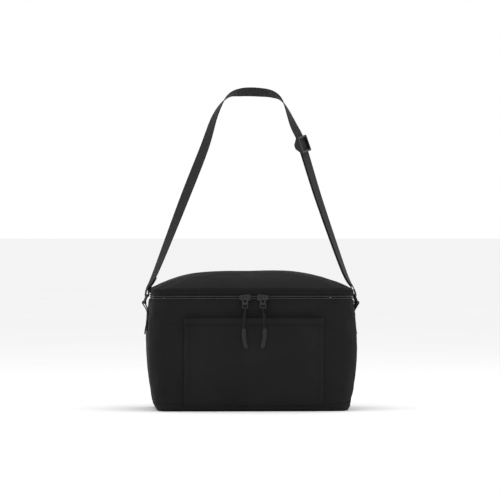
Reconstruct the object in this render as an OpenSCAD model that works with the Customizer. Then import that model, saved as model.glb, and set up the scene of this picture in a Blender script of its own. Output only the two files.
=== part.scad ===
// Soft insulated cooler bag: padded body, domed lid on a zip, front slip pocket, shoulder strap.
// Millimetres, +Z up. The front faces -Y, and the origin is on the floor under the bag's middle.

/* [Bag] */
// Width across the sides at the zip
bag_w = 284; // [240:1:320]
// Depth from front to back at the zip
bag_d = 170; // [150:1:200]
// Height of the zip's centre line above the floor
zip_z = 160; // [140:1:190]
// Radius of the upright corners
corner_r = 22; // [18:1:28]
// How far each side swells outwards at half height
side_bulge = 7; // [0:0.5:9]
// How far the front and the back swell outwards at half height
face_bulge = 4; // [0:0.5:6]
// How much further in each side is at the floor
side_taper = 6; // [0:0.5:9]
// How much further in the front and the back are at the floor
face_taper = 4; // [0:0.5:8]
// Height of the lid's dome above its seam
dome_h = 25.5; // [14:0.5:28]

/* [Layers] */
// Thickness of the outer cloth
cloth_t = 1.2; // [0.8:0.1:1.2]
// Thickness of the foam in the walls and the base
wall_foam_t = 6; // [4:0.5:6]
// Thickness of the foam in the lid
lid_foam_t = 5; // [3:0.5:5]
// Thickness of the waterproof liner
liner_t = 0.8; // [0.5:0.1:0.8]

/* [Pocket] */
// Width of the slip pocket on the front
pocket_w = 197; // [140:1:200]
// How far the pocket's mouth lies below the zip
pocket_drop = 29; // [26:1:60]
// How far the middle of the pocket stands off the front
pocket_ease = 5; // [4.8:0.1:5.2]
// Height of the turned hem along the mouth
hem_h = 9.5; // [6:0.5:12]

/* [Zip] */
// Gap between the two rows of coil
slit = 1.3; // [1.3:0.1:1.6]
// Height of one row of coil
coil_h = 1.7; // [1.4:0.1:1.7]
// Length of a slider's body
slider_len = 16; // [14:1:18]
// Distance from the bag's middle to a pull tab
pull_x = 12.5; // [10.5:0.5:16]
// How far a pull tab leans out from the upright, in degrees
pull_tilt = 12.5; // [12:0.5:14]
// Length of a moulded grip
grip_len = 28.5; // [18:0.5:30]
// Length of cord between a pull tab's foot bar and its grip
cord_drop = 28; // [22:0.5:34]

/* [Strap] */
// Width of the webbing
web_w = 25; // [20:1:25]
// Thickness of the webbing
web_t = 1.4; // [1:0.1:1.4]
// Rise of the standing strap above its rings
strap_rise = 291; // [260:1:330]
// Diameter of the ring's bars
ring_bar = 3; // [2.5:0.1:3]
// Distance between the ring's two long bars, centre to centre
ring_pitch = 11.6; // [11.2:0.1:12.4]
// Length of the tri-glide along the strap
adjuster_len = 24; // [22:1:28]

/* [Hidden] */

// Gap left between layers of one body
ply_gap = 0.2;
// Segments in each upright corner
corner_steps = 6;
CORNER_POINTS = corner_steps + 1;
OUTLINE_POINTS = 4 * CORNER_POINTS;

// Insets of the layers from the outside of the cloth
tape_in = cloth_t + 0.1;
tape_t = 0.8;
foam_in = cloth_t + ply_gap;
liner_in = foam_in + wall_foam_t + ply_gap;
inner_in = liner_in + liner_t;
lid_liner_in = foam_in + lid_foam_t + ply_gap;
bind_in = tape_in + tape_t + ply_gap;
bind_t = inner_in + 0.5 - bind_in;
coil_in = 0.1;
coil_t = 1.1;

// Heights, from the floor up
base_seam_z = 7;
foam_base_top = 1.4 + wall_foam_t - 1;
foam_foot = foam_base_top + ply_gap;
cloth_top = zip_z - 4;
wall_top = zip_z - 9.7;
rim_top = zip_z - 4.9;
tape_low = wall_top + ply_gap;
lid_cloth_low = zip_z + 4;
lid_rim_low = zip_z + 4.9;
tape_high = zip_z + 9.2;
seam_z = zip_z + 10.6;
lid_bind_top = tape_high - 1;
dome_foot = tape_high + ply_gap;
pocket_top = zip_z - pocket_drop;
pocket_foot = base_seam_z + 1;
// Above 2 the dome is flatter in the middle and steeper at its edge
dome_fullness = 3.4;

// ---- Outline of the bag at any height -------------------------------------------------------

function belly(z) = sin(180 * min(z, zip_z) / zip_z);
function taper(z) = 1 - min(z, zip_z) / zip_z;
function half_w(z) = bag_w / 2 - side_taper * taper(z) + side_bulge * belly(z);
function half_d(z) = bag_d / 2 - face_taper * taper(z) + face_bulge * belly(z);
function mix(a, b, f) = a + (b - a) * f;
function smooth(f) = let (c = max(0, min(1, f))) c * c * (3 - 2 * c);

// A rounded rectangle, anticlockwise from above: back right, back left, front left, front right
function outline(hx, hy, r, z) = [
    for (k = [0:3])
        for (i = [0:corner_steps])
            let (a = 90 * (k + i / corner_steps))
            let (sx = k == 0 || k == 3 ? 1 : -1)
            let (sy = k < 2 ? 1 : -1)
            [sx * (hx - r) + r * cos(a), sy * (hy - r) + r * sin(a), z]
];
function course(z, inset) = outline(half_w(z) - inset, half_d(z) - inset, corner_r - inset, z);
function dome_course(s, inset, low = 0) =
    outline((bag_w / 2 - inset) * s, (bag_d / 2 - inset) * s, (corner_r - inset) * s,
            max(low, seam_z + dome_h * (1 - pow(s, dome_fullness)) - inset));
function pick(ring, first, last) = [for (i = [first:last]) ring[i % len(ring)]];
function flip(list) = [for (i = [len(list) - 1:-1:0]) list[i]];

// Stretches of the outline: all but the straight back, and each straight side
BACK_LEFT_END = CORNER_POINTS;
BACK_RIGHT_END = OUTLINE_POINTS + CORNER_POINTS - 1;
LEFT = [2 * CORNER_POINTS - 1, 2 * CORNER_POINTS];
FRONT = [3 * CORNER_POINTS - 1, 3 * CORNER_POINTS];
RIGHT = [4 * CORNER_POINTS - 1, 4 * CORNER_POINTS];
BACK = [CORNER_POINTS - 1, CORNER_POINTS];
AROUND = [BACK_LEFT_END, BACK_RIGHT_END];

// ---- Closed solids between grids of points --------------------------------------------------

function skin_faces(rows, cols, base, wrap, turned) = [
    for (j = [0:rows - 2])
        for (i = [0:cols - (wrap ? 1 : 2)])
            let (a = base + j * cols + i)
            let (b = base + j * cols + (i + 1) % cols)
            let (quad = [a, a + cols, b + cols, b])
            for (tri = [[quad[0], quad[1], quad[2]], [quad[0], quad[2], quad[3]]])
                turned ? flip(tri) : tri
];
// Joins an edge of the outer grid to the same edge of the inner grid
function edge_faces(outer, inner, closed) = [
    for (i = [0:len(outer) - (closed ? 1 : 2)])
        let (n = (i + 1) % len(outer))
        for (tri = [[outer[i], outer[n], inner[n]], [outer[i], inner[n], inner[i]]])
            tri
];
function flat(grid) = [for (row = grid) for (p = row) p];
function row_ids(base, cols, j) = [for (i = [0:cols - 1]) base + j * cols + i];
function col_ids(base, cols, rows, i) = [for (j = [0:rows - 1]) base + j * cols + i];

// A sheet with four edges: rows run up, columns run anticlockwise, outer lies outside inner
module slab(outer, inner) {
    rows = len(outer);
    cols = len(outer[0]);
    far = rows * cols;
    polyhedron(
        points = concat(flat(outer), flat(inner)),
        faces = concat(
            skin_faces(rows, cols, 0, false, false),
            skin_faces(rows, cols, far, false, true),
            edge_faces(row_ids(0, cols, 0), row_ids(far, cols, 0), false),
            edge_faces(flip(row_ids(0, cols, rows - 1)), flip(row_ids(far, cols, rows - 1)), false),
            edge_faces(flip(col_ids(0, cols, rows, 0)), flip(col_ids(far, cols, rows, 0)), false),
            edge_faces(col_ids(0, cols, rows, cols - 1), col_ids(far, cols, rows, cols - 1), false)
        )
    );
}

// A band that closes on itself
module band(outer, inner) {
    rows = len(outer);
    cols = len(outer[0]);
    far = rows * cols;
    polyhedron(
        points = concat(flat(outer), flat(inner)),
        faces = concat(
            skin_faces(rows, cols, 0, true, false),
            skin_faces(rows, cols, far, true, true),
            edge_faces(row_ids(0, cols, 0), row_ids(far, cols, 0), true),
            edge_faces(flip(row_ids(0, cols, rows - 1)), flip(row_ids(far, cols, rows - 1)), true)
        )
    );
}

// A dish: rows run from the rim to the middle, and the last row is capped
module dish(outer, inner) {
    cols = len(outer[0]);
    far = len(outer) * cols;
    polyhedron(
        points = concat(flat(outer), flat(inner)),
        faces = concat(
            skin_faces(len(outer), cols, 0, true, false),
            skin_faces(len(inner), cols, far, true, true),
            [flip(row_ids(0, cols, len(outer) - 1)), row_ids(far, cols, len(inner) - 1)],
            edge_faces(row_ids(0, cols, 0), row_ids(far, cols, 0), true)
        )
    );
}

// A solid stack of rings, capped at both ends
module stack(rings) {
    cols = len(rings[0]);
    polyhedron(
        points = flat(rings),
        faces = concat(
            skin_faces(len(rings), cols, 0, true, false),
            [row_ids(0, cols, 0), flip(row_ids(0, cols, len(rings) - 1))]
        )
    );
}

// A sheet of the wall between two heights and two insets, over a stretch of the outline
module wall(stretch, low, high, inset, t, steps = 8) {
    levels = [for (i = [0:steps]) mix(low, high, i / steps)];
    slab(
        [for (z = levels) pick(course(z, inset), stretch[0], stretch[1])],
        [for (z = levels) pick(course(z, inset + t), stretch[0], stretch[1])]
    );
}

// ---- Body -----------------------------------------------------------------------------------

module body_wrap() {
    color([0.06, 0.06, 0.07])
        wall(AROUND, base_seam_z + ply_gap, cloth_top, 0, cloth_t);
}

module back_panel() {
    color([0.06, 0.06, 0.07])
        wall(BACK, base_seam_z + ply_gap, cloth_top, 0, cloth_t);
}

// The base's outline steps in and down round its lower edge: [inset, height]
base_edge = [[0, base_seam_z], [1.1, 3.6], [4.2, 1], [9, 0]];

module base_panel() {
    color([0.05, 0.05, 0.06])
        dish(
            [for (e = base_edge) flip(course(e[1], e[0]))],
            [for (e = base_edge) flip(course(min(base_seam_z, e[1] + cloth_t), e[0] + cloth_t))]
        );
}

module foam_panel(stretch) {
    color([0.92, 0.92, 0.9])
        wall(stretch, foam_foot, wall_top, foam_in, wall_foam_t);
}

module foam_front() {
    foam_panel(FRONT);
}

module foam_back() {
    foam_panel(BACK);
}

module foam_left() {
    foam_panel(LEFT);
}

module foam_right() {
    foam_panel(RIGHT);
}

module foam_base() {
    color([0.92, 0.92, 0.9])
        stack([course(1.4, 13), course(3.4, 6), course(foam_base_top, 3.4)]);
}

// The liner runs down the walls, round a bottom curve and across: [inset beyond the walls', height]
module liner_tub() {
    turn = [[0, foam_foot + 6], [1.8, foam_foot + 1.8], [6, foam_foot]];
    levels = [for (i = [0:6]) mix(wall_top, foam_foot + 16, i / 6)];
    color([0.78, 0.79, 0.8])
        dish(
            [for (e = concat([for (z = levels) [0, z]], turn)) flip(course(e[1], liner_in + e[0]))],
            [
                for (e = concat([for (z = levels) [0, z]], [for (e = turn) [e[0], e[1] + liner_t]]))
                    flip(course(e[1], inner_in + e[0]))
            ]
        );
}

module rim_binding() {
    levels = [wall_top + ply_gap, rim_top];
    color([0.08, 0.08, 0.09])
        band(
            [for (z = levels) course(z, bind_in)],
            [for (z = levels) course(z, bind_in + bind_t)]
        );
}

module zip_tape_lower() {
    color([0.07, 0.07, 0.08])
        wall(AROUND, tape_low, zip_z - slit / 2, tape_in, tape_t, 2);
}

module zip_coil_lower() {
    color([0.14, 0.14, 0.15])
        wall(AROUND, zip_z - slit / 2 - coil_h, zip_z - slit / 2, coil_in, coil_t, 1);
}

// The pocket stands off the front in the middle and meets it at the sides and the foot
function pocket_off(x, z) =
    pocket_ease * (1 - pow(abs(2 * x / pocket_w), 4)) * smooth((z - pocket_foot) / 40);
function pocket_point(x, z, out) = [x, -half_d(z) - ply_gap - pocket_off(x, z) - out, z];

module pocket_panel() {
    hem_z = pocket_top - hem_h;
    hem_t = 0.8;
    columns = [for (i = [0:16]) pocket_w * (i / 16 - 0.5)];
    levels = concat([for (i = [0:7]) mix(pocket_foot, hem_z, i / 7)], [hem_z + 0.5, pocket_top]);
    color([0.06, 0.06, 0.07])
        slab(
            [for (z = levels) [for (x = columns) pocket_point(x, z, cloth_t + (z > hem_z ? hem_t : 0))]],
            [for (z = levels) [for (x = columns) pocket_point(x, z, 0)]]
        );
}

// A strip over the back that the lid folds on
module hinge_strip() {
    reach = bag_w / 2 - corner_r;
    strip_t = 0.9;
    off = 0.3;
    low = zip_z - 10;
    color([0.07, 0.07, 0.08])
        slab(
            [for (z = [low, zip_z, zip_z + 10]) [for (x = [reach, -reach]) [x, half_d(z) + off + strip_t, z]]],
            [for (z = [low, zip_z, zip_z + 10]) [for (x = [reach, -reach]) [x, half_d(z) + off, z]]]
        );
}

// ---- Side tabs and rings, drawn on the right side and mirrored for the left -------------------

// The ring hangs in the tab by its lower bar and carries the strap on its upper bar: [x, z]
upper_bar = [bag_w / 2 + 5.5, zip_z + 2];
ring_lean = 20;
lower_bar = upper_bar - ring_pitch * [-sin(ring_lean), cos(ring_lean)];
web_wrap_r = ring_bar / 2 + 0.2 + web_t / 2;

// A strip of webbing across Y that follows points in the XZ plane
module flat_web(path) {
    last = len(path) - 1;
    function along(i) = path[min(i + 1, last)] - path[max(i - 1, 0)];
    function across(i) = let (t = along(i) / norm(along(i))) [t[1], -t[0]] * web_t / 2;
    stack([
        for (i = [0:last])
            let (p = path[i])
            let (n = across(i))
            [
                [p[0] + n[0], web_w / 2, p[1] + n[1]],
                [p[0] + n[0], -web_w / 2, p[1] + n[1]],
                [p[0] - n[0], -web_w / 2, p[1] - n[1]],
                [p[0] - n[0], web_w / 2, p[1] - n[1]]
            ]
    ]);
}

module side_tab() {
    foot = zip_z - 53.5;
    sewn_low = zip_z - 38;
    sewn_high = zip_z - 23;
    // The ply against the bag is 0 and the outer one 1
    function ply(z, n) = [half_w(z) + 0.3 + web_t / 2 + n * (web_t + 0.2), z];
    color([0.16, 0.16, 0.17])
        flat_web(concat(
            [[half_w(foot) + 4.6, foot], [half_w(foot) + 3.2, foot + 9], ply(sewn_low, 1), ply(sewn_high, 1)],
            [for (a = [-20:20:220]) lower_bar + web_wrap_r * [cos(a), sin(a)]],
            [ply(sewn_high, 0), ply(sewn_low, 0), [half_w(foot) + 1.2, foot + 4]]
        ));
}

module side_ring() {
    side_y = web_w / 2 + 0.5 + ring_bar / 2;
    color([0.08, 0.08, 0.09])
        union() {
            for (bar = [upper_bar, lower_bar])
                translate([bar[0], 0, bar[1]])
                    rotate([90, 0, 0])
                        cylinder(h = 2 * side_y, d = ring_bar, center = true, $fn = 24);
            for (y = [-side_y, side_y]) {
                translate([lower_bar[0], y, lower_bar[1]])
                    rotate([0, -ring_lean, 0])
                        cylinder(h = ring_pitch, d = ring_bar, $fn = 24);
                for (bar = [upper_bar, lower_bar])
                    translate([bar[0], y, bar[1]])
                        sphere(d = ring_bar, $fn = 24);
            }
        }
}

module tab_left() {
    mirror([1, 0, 0])
        side_tab();
}

module tab_right() {
    side_tab();
}

module ring_left() {
    mirror([1, 0, 0])
        side_ring();
}

module ring_right() {
    side_ring();
}

// ---- Lid ------------------------------------------------------------------------------------

dome_steps = [1, 0.985, 0.95, 0.9, 0.82, 0.7, 0.55, 0.36, 0.18];

module lid_top() {
    color([0.06, 0.06, 0.07])
        dish(
            [for (s = dome_steps) dome_course(s, 0)],
            [for (s = dome_steps) dome_course(s, cloth_t, seam_z)]
        );
}

module lid_band() {
    levels = [lid_cloth_low, seam_z - ply_gap];
    color([0.06, 0.06, 0.07])
        band([for (z = levels) course(z, 0)], [for (z = levels) course(z, cloth_t)]);
}

module foam_lid() {
    color([0.92, 0.92, 0.9])
        dish(
            [for (s = dome_steps) dome_course(s, foam_in, dome_foot)],
            [for (s = dome_steps) dome_course(s, foam_in + lid_foam_t, dome_foot)]
        );
}

module liner_lid() {
    color([0.78, 0.79, 0.8])
        dish(
            [for (s = dome_steps) dome_course(s, lid_liner_in, dome_foot - ply_gap)],
            [for (s = dome_steps) dome_course(s, lid_liner_in + liner_t, dome_foot - ply_gap - liner_t)]
        );
}

module lid_binding() {
    levels = [lid_rim_low, lid_bind_top];
    color([0.08, 0.08, 0.09])
        band(
            [for (z = levels) course(z, bind_in)],
            [for (z = levels) course(z, bind_in + bind_t)]
        );
}

module zip_tape_upper() {
    color([0.07, 0.07, 0.08])
        wall(AROUND, zip_z + slit / 2, tape_high, tape_in, tape_t, 2);
}

module zip_coil_upper() {
    color([0.14, 0.14, 0.15])
        wall(AROUND, zip_z + slit / 2, zip_z + slit / 2 + coil_h, coil_in, coil_t, 1);
}

// ---- Zip sliders, drawn for the right side and mirrored for the left --------------------------

front_y = -bag_d / 2;
plate_y = front_y - 2.5;
plate_t = 1.4;
back_plate_y = front_y + tape_in + tape_t + 0.3;
bail_w = 3;
bail_t = 1;
bail_half_h = 3.4;
bail_reach = 4.1;
pin_r = 0.9;
pin_y = plate_y - pin_r - 0.7;
pin_z = zip_z - bail_half_h + bail_t + pin_r + 0.3;

// A slider's plate from the front: wide at the mouth, next to the middle, and narrow at the tail
module slider_plate(y, t) {
    nose = pull_x - slider_len / 2;
    tail = pull_x + slider_len / 2;
    mouth_h = 4.6;
    tail_h = 3.6;
    translate([0, y + t, zip_z])
        rotate([90, 0, 0])
            linear_extrude(height = t)
                polygon([
                    [nose, -mouth_h + 1.6], [nose + 1.6, -mouth_h], [nose + 5, -mouth_h], [tail - 1.2, -tail_h],
                    [tail, -tail_h + 1.2], [tail, tail_h - 1.2], [tail - 1.2, tail_h], [nose + 5, mouth_h],
                    [nose + 1.6, mouth_h], [nose, mouth_h - 1.6]
                ]);
}

module slider() {
    post_x = pull_x - slider_len / 2 + 0.6;
    lip_z = cloth_top + 0.3;
    color([0.1, 0.1, 0.11])
        union() {
            slider_plate(plate_y, plate_t);
            slider_plate(back_plate_y, plate_t);
            // Divider between the two rows of coil, at the mouth
            translate([post_x, plate_y + plate_t / 2, zip_z - 0.48])
                cube([2.4, back_plate_y - plate_y, 0.96]);
            // Lip under the lower row of coil
            translate([pull_x - slider_len / 2 + 5, plate_y + plate_t / 2, lip_z])
                cube([slider_len - 7, 2.4, 1]);
            // Bail that holds the pull tab
            for (z = [-bail_half_h, bail_half_h - bail_t])
                translate([pull_x - bail_w / 2, plate_y - bail_reach, zip_z + z])
                    cube([bail_w, bail_reach + plate_t / 2, bail_t]);
            translate([pull_x - bail_w / 2, plate_y - bail_reach, zip_z - bail_half_h])
                cube([bail_w, bail_t, 2 * bail_half_h]);
        }
}

module slider_left() {
    mirror([1, 0, 0])
        slider();
}

module slider_right() {
    slider();
}

// ---- Pull tabs, cords and grips: drawn hanging from the pin at the origin ---------------------

tab_w = 8.6;
tab_t = 1.6;
eye_top = -9.5;
foot_bar_z = -13.7;
foot_bar_r = tab_t / 2;

module pull_tab() {
    window_w = bail_w + 0.8;
    window_low = -5.8;
    cord_slot_w = 6;
    color([0.13, 0.13, 0.14])
        union() {
            rotate([0, 90, 0])
                cylinder(h = tab_w, r = pin_r, center = true, $fn = 24);
            translate([0, 0, foot_bar_z])
                rotate([0, 90, 0])
                    cylinder(h = tab_w, r = foot_bar_r, center = true, $fn = 24);
            for (side = [-1, 1]) {
                upper_arm = (tab_w - window_w) / 2;
                lower_arm = (tab_w - cord_slot_w) / 2;
                translate([side * (window_w + upper_arm) / 2, 0, window_low / 2])
                    cube([upper_arm, tab_t, -window_low], center = true);
                translate([side * (cord_slot_w + lower_arm) / 2, 0, (eye_top + foot_bar_z) / 2])
                    cube([lower_arm, tab_t, eye_top - foot_bar_z], center = true);
            }
            translate([0, 0, (window_low + eye_top) / 2])
                cube([tab_w, tab_t, window_low - eye_top], center = true);
        }
}

module hang_tab(side) {
    translate([side * pull_x, pin_y, pin_z])
        rotate([-pull_tilt, 0, 0])
            pull_tab();
}

module pull_tab_left() {
    hang_tab(-1);
}

module pull_tab_right() {
    hang_tab(1);
}

// A round or oval bar that follows points in space; its first cross direction stays near +X
module tube(path, half_sizes, sides) {
    last = len(path) - 1;
    stack([
        for (i = [0:last])
            let (way = path[min(i + 1, last)] - path[max(i - 1, 0)])
            let (t = way / norm(way))
            let (raw = [1, 0, 0] - t[0] * t)
            let (b = raw / norm(raw))
            let (n = cross(t, b))
            [
                for (k = [0:sides - 1])
                    path[i] + half_sizes[i][0] * cos(360 * k / sides) * b
                        + half_sizes[i][1] * sin(360 * k / sides) * n
            ]
    ]);
}

// The foot bar's place in the frame of the bag, which the cord loops over
bar_y = pin_y + foot_bar_z * sin(pull_tilt);
bar_z = pin_z + foot_bar_z * cos(pull_tilt);
cord_r = 0.95;
cord_loop_r = 2.3;
grip_y = -half_d(pocket_top) - pocket_ease - 4.6;
grip_top = bar_z - cord_drop;
grip_out = 2;

module pull_cord(side) {
    strand = [
        [side * grip_out - 1.05, grip_y, grip_top - 0.3],
        [side * grip_out - 1.05, grip_y, grip_top + 3],
        [side * grip_out * 0.8 - 1, grip_y, bar_z - 15],
        [side * grip_out / 2 - 0.8, mix(grip_y, bar_y, 0.55), bar_z - 9],
        [-0.3, bar_y - cord_loop_r - 0.1, bar_z - 4.5]
    ];
    back_strand = [
        [0.3, bar_y + cord_loop_r - 0.3, bar_z - 4.5],
        [side * grip_out / 2 + 1, mix(grip_y, bar_y, 0.7), bar_z - 9],
        [side * grip_out * 0.8 + 1.05, grip_y, bar_z - 15],
        [side * grip_out + 1.05, grip_y, grip_top + 3],
        [side * grip_out + 1.05, grip_y, grip_top - 0.3]
    ];
    loop = [for (a = [0:30:180]) [0, bar_y - cord_loop_r * cos(a), bar_z + cord_loop_r * sin(a)]];
    path = concat(strand, loop, back_strand);
    color([0.12, 0.12, 0.13])
        translate([side * pull_x, 0, 0])
            tube(path, [for (p = path) [cord_r, cord_r]], 8);
}

module pull_cord_left() {
    pull_cord(-1);
}

module pull_cord_right() {
    pull_cord(1);
}

// The grip bows outwards, and its foot turns back towards the bag's middle
module pull_grip(side) {
    steps = 10;
    path = [
        for (i = [0:steps])
            let (f = i / steps)
            [side * (pull_x + grip_out + 0.6 * sin(180 * f) - 3.4 * f * f), grip_y, grip_top - 0.3 - grip_len * f]
    ];
    widths = [
        for (i = [0:steps])
            let (f = i / steps)
            let (cap = sqrt(max(0, 1 - pow(2 * f - 1, 8))))
            [max(1.6, 3.2 * cap), max(1.1, 2 * cap)]
    ];
    color([0.2, 0.2, 0.21])
        tube(path, widths, 12);
}

module pull_grip_left() {
    pull_grip(-1);
}

module pull_grip_right() {
    pull_grip(1);
}

// ---- Shoulder strap -------------------------------------------------------------------------

// Route of the standing strap from the left ring to the right: part of the half span, part of
// the rise, and the twist in degrees that turns the front edge inwards
strap_route = [
    [-1, 0, 0], [-0.985, 0.035, 4], [-0.9, 0.125, 15], [-0.637, 0.467, 28], [-0.445, 0.715, 27],
    [-0.336, 0.877, 14], [-0.222, 0.966, -6], [-0.09, 0.989, -25], [0.09, 0.989, -27],
    [0.22, 0.977, -18], [0.312, 0.94, 3], [0.41, 0.83, 25], [0.495, 0.735, 27],
    [0.66, 0.467, 23], [0.896, 0.125, 15], [0.985, 0.035, 4], [1, 0, 0]
];
ADJUSTER_STOP = 12;
route_steps = 5;
route_last = len(strap_route) - 1;
half_span = upper_bar[0];

function knot(i) =
    i < 0 ? 2 * strap_route[0] - strap_route[1]
    : i > route_last ? 2 * strap_route[route_last] - strap_route[route_last - 1]
    : strap_route[i];
// Smooth curve through the route's points
function route(u) =
    let (i = min(floor(u), route_last - 1))
    let (f = u - i)
    let (a = knot(i - 1))
    let (b = knot(i))
    let (c = knot(i + 1))
    let (d = knot(i + 2))
    0.5 * (2 * b + (c - a) * f + (2 * a - 5 * b + 4 * c - d) * f * f
        + (3 * b - a - 3 * c + d) * f * f * f);
function route_xz(u) = let (r = route(u)) [r[0] * half_span, upper_bar[1] + r[1] * strap_rise];
function unit(v) = v / norm(v);
function route_way(u) = unit(route_xz(min(u + 0.02, route_last)) - route_xz(max(u - 0.02, 0)));

// Where the doubled webbing lies: its two layers part to pass round a ring's bar
ply_off = web_t / 2 + 0.08;
eye_len = 16;
function ring_dist(u) = min(norm(route_xz(u) - route_xz(0)), norm(route_xz(u) - route_xz(route_last)));
function layer_off(u) = ply_off + (web_wrap_r - ply_off) * max(0, 1 - ring_dist(u) / eye_len);

// One cross-section of webbing: side is -1 on the outer layer and 1 on the inner one
function web_section(u, side) =
    let (c = route_xz(u))
    let (t = route_way(u))
    let (twist = route(u)[2])
    let (inward = [t[1], 0, -t[0]])
    let (w = cos(twist) * [0, 1, 0] - sin(twist) * inward)
    let (n = cos(twist) * inward + sin(twist) * [0, 1, 0])
    section_at([c[0], 0, c[1]] + side * layer_off(u) * n, w, n * (side < 0 ? 1 : -1));
function section_at(p, w, n) = [
    p + w * web_w / 2 + n * web_t / 2,
    p - w * web_w / 2 + n * web_t / 2,
    p - w * web_w / 2 - n * web_t / 2,
    p + w * web_w / 2 - n * web_t / 2
];
// Half a turn round a ring's upper bar; way is the strap's direction away from the ring
function eye_sections(centre, way, angles) = [
    for (a = angles)
        let (inward = [way[1], -way[0]])
        let (r = cos(a) * inward - sin(a) * way)
        section_at([centre[0] + web_wrap_r * r[0], 0, centre[1] + web_wrap_r * r[1]],
                   [0, 1, 0], -[r[0], 0, r[1]])
];

// Steps of the route over which the webbing is doubled, above the left ring and above the right one
sewn_steps = 9;
stub_steps = 12;
stub_u = route_last - stub_steps / route_steps;
adjuster_xz = route_xz(ADJUSTER_STOP);
adjuster_way = route_way(ADJUSTER_STOP);
adjuster_twist = route(ADJUSTER_STOP)[2];

module strap_webbing() {
    left_up = route_way(0);
    right_up = -route_way(route_last);
    color([0.16, 0.16, 0.17])
        stack(concat(
            [for (i = [sewn_steps:-1:0]) web_section(i / route_steps, 1)],
            eye_sections(route_xz(0), left_up, [30:30:150]),
            [for (i = [0:route_last * route_steps]) web_section(i / route_steps, -1)],
            [
                for (a = [150:-30:30])
                    let (inward = [-right_up[1], right_up[0]])
                    let (r = cos(a) * inward - sin(a) * right_up)
                    let (c = route_xz(route_last))
                    section_at([c[0] + web_wrap_r * r[0], 0, c[1] + web_wrap_r * r[1]],
                               [0, 1, 0], -[r[0], 0, r[1]])
            ],
            [for (i = [0:stub_steps]) web_section(route_last - i / route_steps, 1)]
        ));
}

// The tri-glide's frame of axes: Z up the strap, Y across it and X through it, towards the inside
module at_adjuster() {
    lean = atan2(-adjuster_way[0], -adjuster_way[1]);
    translate([adjuster_xz[0], 0, adjuster_xz[1]])
        rotate([0, lean, 0])
            rotate([0, 0, 180 - adjuster_twist])
                children();
}

centre_bar_r = 1.5;
centre_bar_x = -0.08 + 0.2 + web_t + 0.1 + centre_bar_r;

module strap_return() {
    end_u = ADJUSTER_STOP + 0.06;
    steps = 12;
    color([0.16, 0.16, 0.17])
        stack([for (i = [0:steps]) web_section(mix(stub_u - 0.01, end_u, i / steps), 1)]);
}

module adjuster() {
    outer_bar_x = -(2 * ply_off + 0.3 + 1.6) + 0.06;
    rail_y = web_w / 2 + 0.7;
    rail_t = 2.4;
    half_len = adjuster_len / 2;
    color([0.09, 0.09, 0.1])
        at_adjuster()
            union() {
                for (side = [-1, 1]) {
                    translate([0, side * (rail_y + rail_t / 2) + rail_t / 2, 0])
                        rotate([90, 0, 0])
                            linear_extrude(height = rail_t)
                                polygon([
                                    [outer_bar_x - 1.6, -half_len + 1], [outer_bar_x - 0.6, -half_len],
                                    [outer_bar_x + 1.6, -half_len], [centre_bar_x + 1.6, -3],
                                    [centre_bar_x + 1.6, 3], [outer_bar_x + 1.6, half_len],
                                    [outer_bar_x - 0.6, half_len], [outer_bar_x - 1.6, half_len - 1]
                                ]);
                    translate([outer_bar_x, 0, side * (half_len - 1.6)])
                        rotate([90, 0, 0])
                            cylinder(h = 2 * rail_y + 0.4, r = 1.6, center = true, $fn = 24);
                }
                translate([centre_bar_x, 0, 0])
                    rotate([90, 0, 0])
                        cylinder(h = 2 * rail_y + 0.4, r = centre_bar_r, center = true, $fn = 24);
            }
}

body_wrap();
back_panel();
base_panel();
foam_front();
foam_back();
foam_left();
foam_right();
foam_base();
liner_tub();
rim_binding();
zip_tape_lower();
zip_coil_lower();
pocket_panel();
tab_left();
tab_right();
ring_left();
ring_right();
hinge_strip();
lid_top();
lid_band();
foam_lid();
liner_lid();
lid_binding();
zip_tape_upper();
zip_coil_upper();
slider_left();
slider_right();
pull_tab_left();
pull_tab_right();
pull_cord_left();
pull_cord_right();
pull_grip_left();
pull_grip_right();
strap_webbing();
strap_return();
adjuster();
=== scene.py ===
"""Looks of a soft insulated cooler bag: padded cloth body, domed lid, slip pocket, zip and strap.

Metres, +Z up, the front towards -Y, as in the frame. Each sub-part and each material has its own
function, and the last section calls them in order.
"""

import math

import bmesh
import bpy
import numpy as np
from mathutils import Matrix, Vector, noise


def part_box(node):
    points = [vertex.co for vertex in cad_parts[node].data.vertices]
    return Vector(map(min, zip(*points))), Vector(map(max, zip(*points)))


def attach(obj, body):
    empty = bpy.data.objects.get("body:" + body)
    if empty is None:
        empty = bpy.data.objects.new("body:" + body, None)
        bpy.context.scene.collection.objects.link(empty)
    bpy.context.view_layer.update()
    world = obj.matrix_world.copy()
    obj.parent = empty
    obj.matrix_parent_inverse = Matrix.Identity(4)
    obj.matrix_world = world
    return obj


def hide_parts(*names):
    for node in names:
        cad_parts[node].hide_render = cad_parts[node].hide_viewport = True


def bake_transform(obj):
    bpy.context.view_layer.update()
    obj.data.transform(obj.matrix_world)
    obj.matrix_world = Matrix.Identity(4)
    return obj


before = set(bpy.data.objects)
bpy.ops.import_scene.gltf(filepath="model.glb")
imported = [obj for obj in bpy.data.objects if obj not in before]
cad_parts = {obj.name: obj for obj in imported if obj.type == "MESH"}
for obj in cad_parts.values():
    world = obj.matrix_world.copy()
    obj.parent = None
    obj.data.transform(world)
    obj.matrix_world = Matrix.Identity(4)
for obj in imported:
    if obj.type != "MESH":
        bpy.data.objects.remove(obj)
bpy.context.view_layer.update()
scene = bpy.context.scene

# ---- Sizes, from the frame's boxes ----

hinge_low, hinge_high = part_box("hinge_strip")
band_low, band_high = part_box("lid_band")
dome_low, dome_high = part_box("lid_top")
wrap_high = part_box("body_wrap")[1]
foam_low, foam_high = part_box("foam_front")
pocket_low, pocket_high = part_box("pocket_panel")

ZIP_Z = (hinge_low.z + hinge_high.z) / 2
HALF_W = band_high.x
HALF_D = band_high.y
SEAM_Z = dome_low.z
DOME_H = dome_high.z - SEAM_Z
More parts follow.
